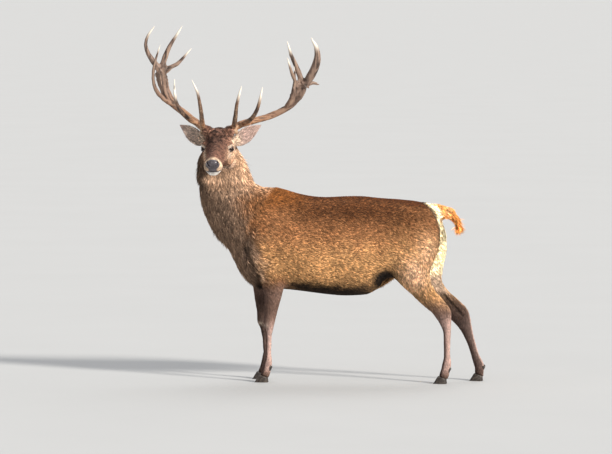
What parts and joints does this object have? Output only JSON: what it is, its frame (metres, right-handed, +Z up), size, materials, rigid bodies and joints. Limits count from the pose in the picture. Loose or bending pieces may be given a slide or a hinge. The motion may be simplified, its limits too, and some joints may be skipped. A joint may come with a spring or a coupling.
{
  "type": "red deer stag",
  "caption": "Still life-size museum model of a red deer stag, standing with its head turned to its left, with branched antlers.",
  "frame": {"origin": "middle of the footprint, on the floor", "axes": "the stag faces -X, its left side is towards -Y, +Z is up"},
  "size_m": [2.1526, 0.6212, 2.2196],
  "materials": {
    "body_coat": "short warm red-brown fur",
    "mane": "longer grey-brown fur",
    "face_coat": "very short fur",
    "leg_coat": "very short fur",
    "tail_coat": "loose orange-tan fur",
    "ear_coat": "short fur, pale inside",
    "eye": "wet gloss",
    "antler": "rough grooved bone with polished pale tips",
    "hoof_horn": "dark satin horn"
  },
  "bodies": {
    "root": {"antler_left_beam": "antler", "antler_left_bez_tine": "antler", "antler_left_brow_tine": "antler", "antler_left_crown_front_tine": "antler", "antler_left_crown_inner_tine": "antler", "antler_left_crown_outer_tine": "antler", "antler_left_crown_rear_snag": "antler", "antler_left_trez_tine": "antler", "antler_right_beam": "antler", "antler_right_bez_tine": "antler", "antler_right_brow_tine": "antler", "antler_right_crown_front_tine": "antler", "antler_right_crown_inner_tine": "antler", "antler_right_crown_middle_tine": "antler", "antler_right_trez_tine": "antler", "dewclaw_fore_left_inner": "hoof_horn", "dewclaw_fore_left_outer": "hoof_horn", "dewclaw_fore_right_inner": "hoof_horn", "dewclaw_fore_right_outer": "hoof_horn", "dewclaw_hind_left_inner": "hoof_horn", "dewclaw_hind_left_outer": "hoof_horn", "dewclaw_hind_right_inner": "hoof_horn", "dewclaw_hind_right_outer": "hoof_horn", "ear_left": "ear_coat", "ear_right": "ear_coat", "eye_left": "eye", "eye_right": "eye", "foreleg_left_cannon": "leg_coat", "foreleg_left_forearm": "leg_coat", "foreleg_right_cannon": "leg_coat", "foreleg_right_forearm": "leg_coat", "head": "face_coat", "hindleg_left_cannon": "leg_coat", "hindleg_left_thigh": "body_coat", "hindleg_right_cannon": "leg_coat", "hindleg_right_thigh": "body_coat", "hoof_fore_left_inner": "hoof_horn", "hoof_fore_left_outer": "hoof_horn", "hoof_fore_right_inner": "hoof_horn", "hoof_fore_right_outer": "hoof_horn", "hoof_hind_left_inner": "hoof_horn", "hoof_hind_left_outer": "hoof_horn", "hoof_hind_right_inner": "hoof_horn", "hoof_hind_right_outer": "hoof_horn", "neck": "mane", "tail": "tail_coat", "trunk": "body_coat"}
  },
  "joints": []
}
